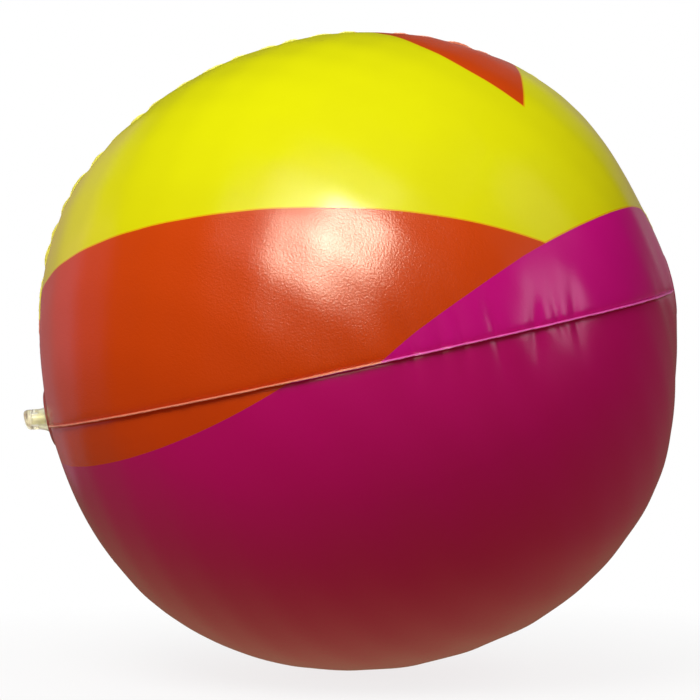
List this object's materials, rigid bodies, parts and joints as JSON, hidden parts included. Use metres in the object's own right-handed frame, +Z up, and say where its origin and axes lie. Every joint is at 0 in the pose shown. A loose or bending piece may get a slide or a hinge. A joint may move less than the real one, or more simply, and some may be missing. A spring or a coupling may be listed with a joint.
{
  "type": "inflatable beach ball",
  "caption": "Inflatable ball of welded vinyl gores with round end discs, a swirled colour print and a push-in valve with a plug on a strap.",
  "frame": {"origin": "the point of the floor right under the ball's centre, where its lowest weld touches; the ball is 373.9 mm high over it", "axes": "+Z up; the ball lies with the axis through its two end discs in the XZ plane, 12.18 degrees off level: the valve end is at -X and lower, the plain end at +X and higher; -Y is the front, where the weld between the two front panels runs"},
  "size_m": [0.3821, 0.374, 0.3739],
  "materials": {
    "film_yellow": "satin",
    "film_magenta": "satin",
    "film_orange": "satin",
    "valve_clear": "gloss"
  },
  "bodies": {
    "envelope": {"panel_upper_front": "film_yellow", "panel_lower_front": "film_magenta", "panel_lower_back": "film_orange", "panel_upper_back": "film_yellow", "end_disc_plain": "film_magenta", "end_disc_valve": "film_orange", "valve_flange": "valve_clear", "valve_skirt": "valve_clear"},
    "stem": {"valve_stem": "valve_clear", "plug_strap": "valve_clear"},
    "plug": {"valve_plug": "valve_clear"},
    "flap": {"check_flap": "valve_clear"}
  },
  "joints": [
    {"name": "valve_push", "type": "slide", "parent": "envelope", "child": "stem", "axis": [0.9985, 0, 0.0555], "range_m": [0, 0.0146], "deforming": ["valve_skirt", "plug_strap"]},
    {"name": "plug_pull", "type": "slide", "parent": "stem", "child": "plug", "axis": [-0.9985, 0, -0.0555], "range_m": [0, 0.012], "deforming": ["plug_strap"]},
    {"name": "flap_swing", "type": "hinge", "parent": "stem", "child": "flap", "pos_m": [-0.1768, 0, 0.15238], "axis": [0, -1, 0], "range_deg": [0, 40], "stiffness_Nm_per_rad": 0.0004}
  ]
}
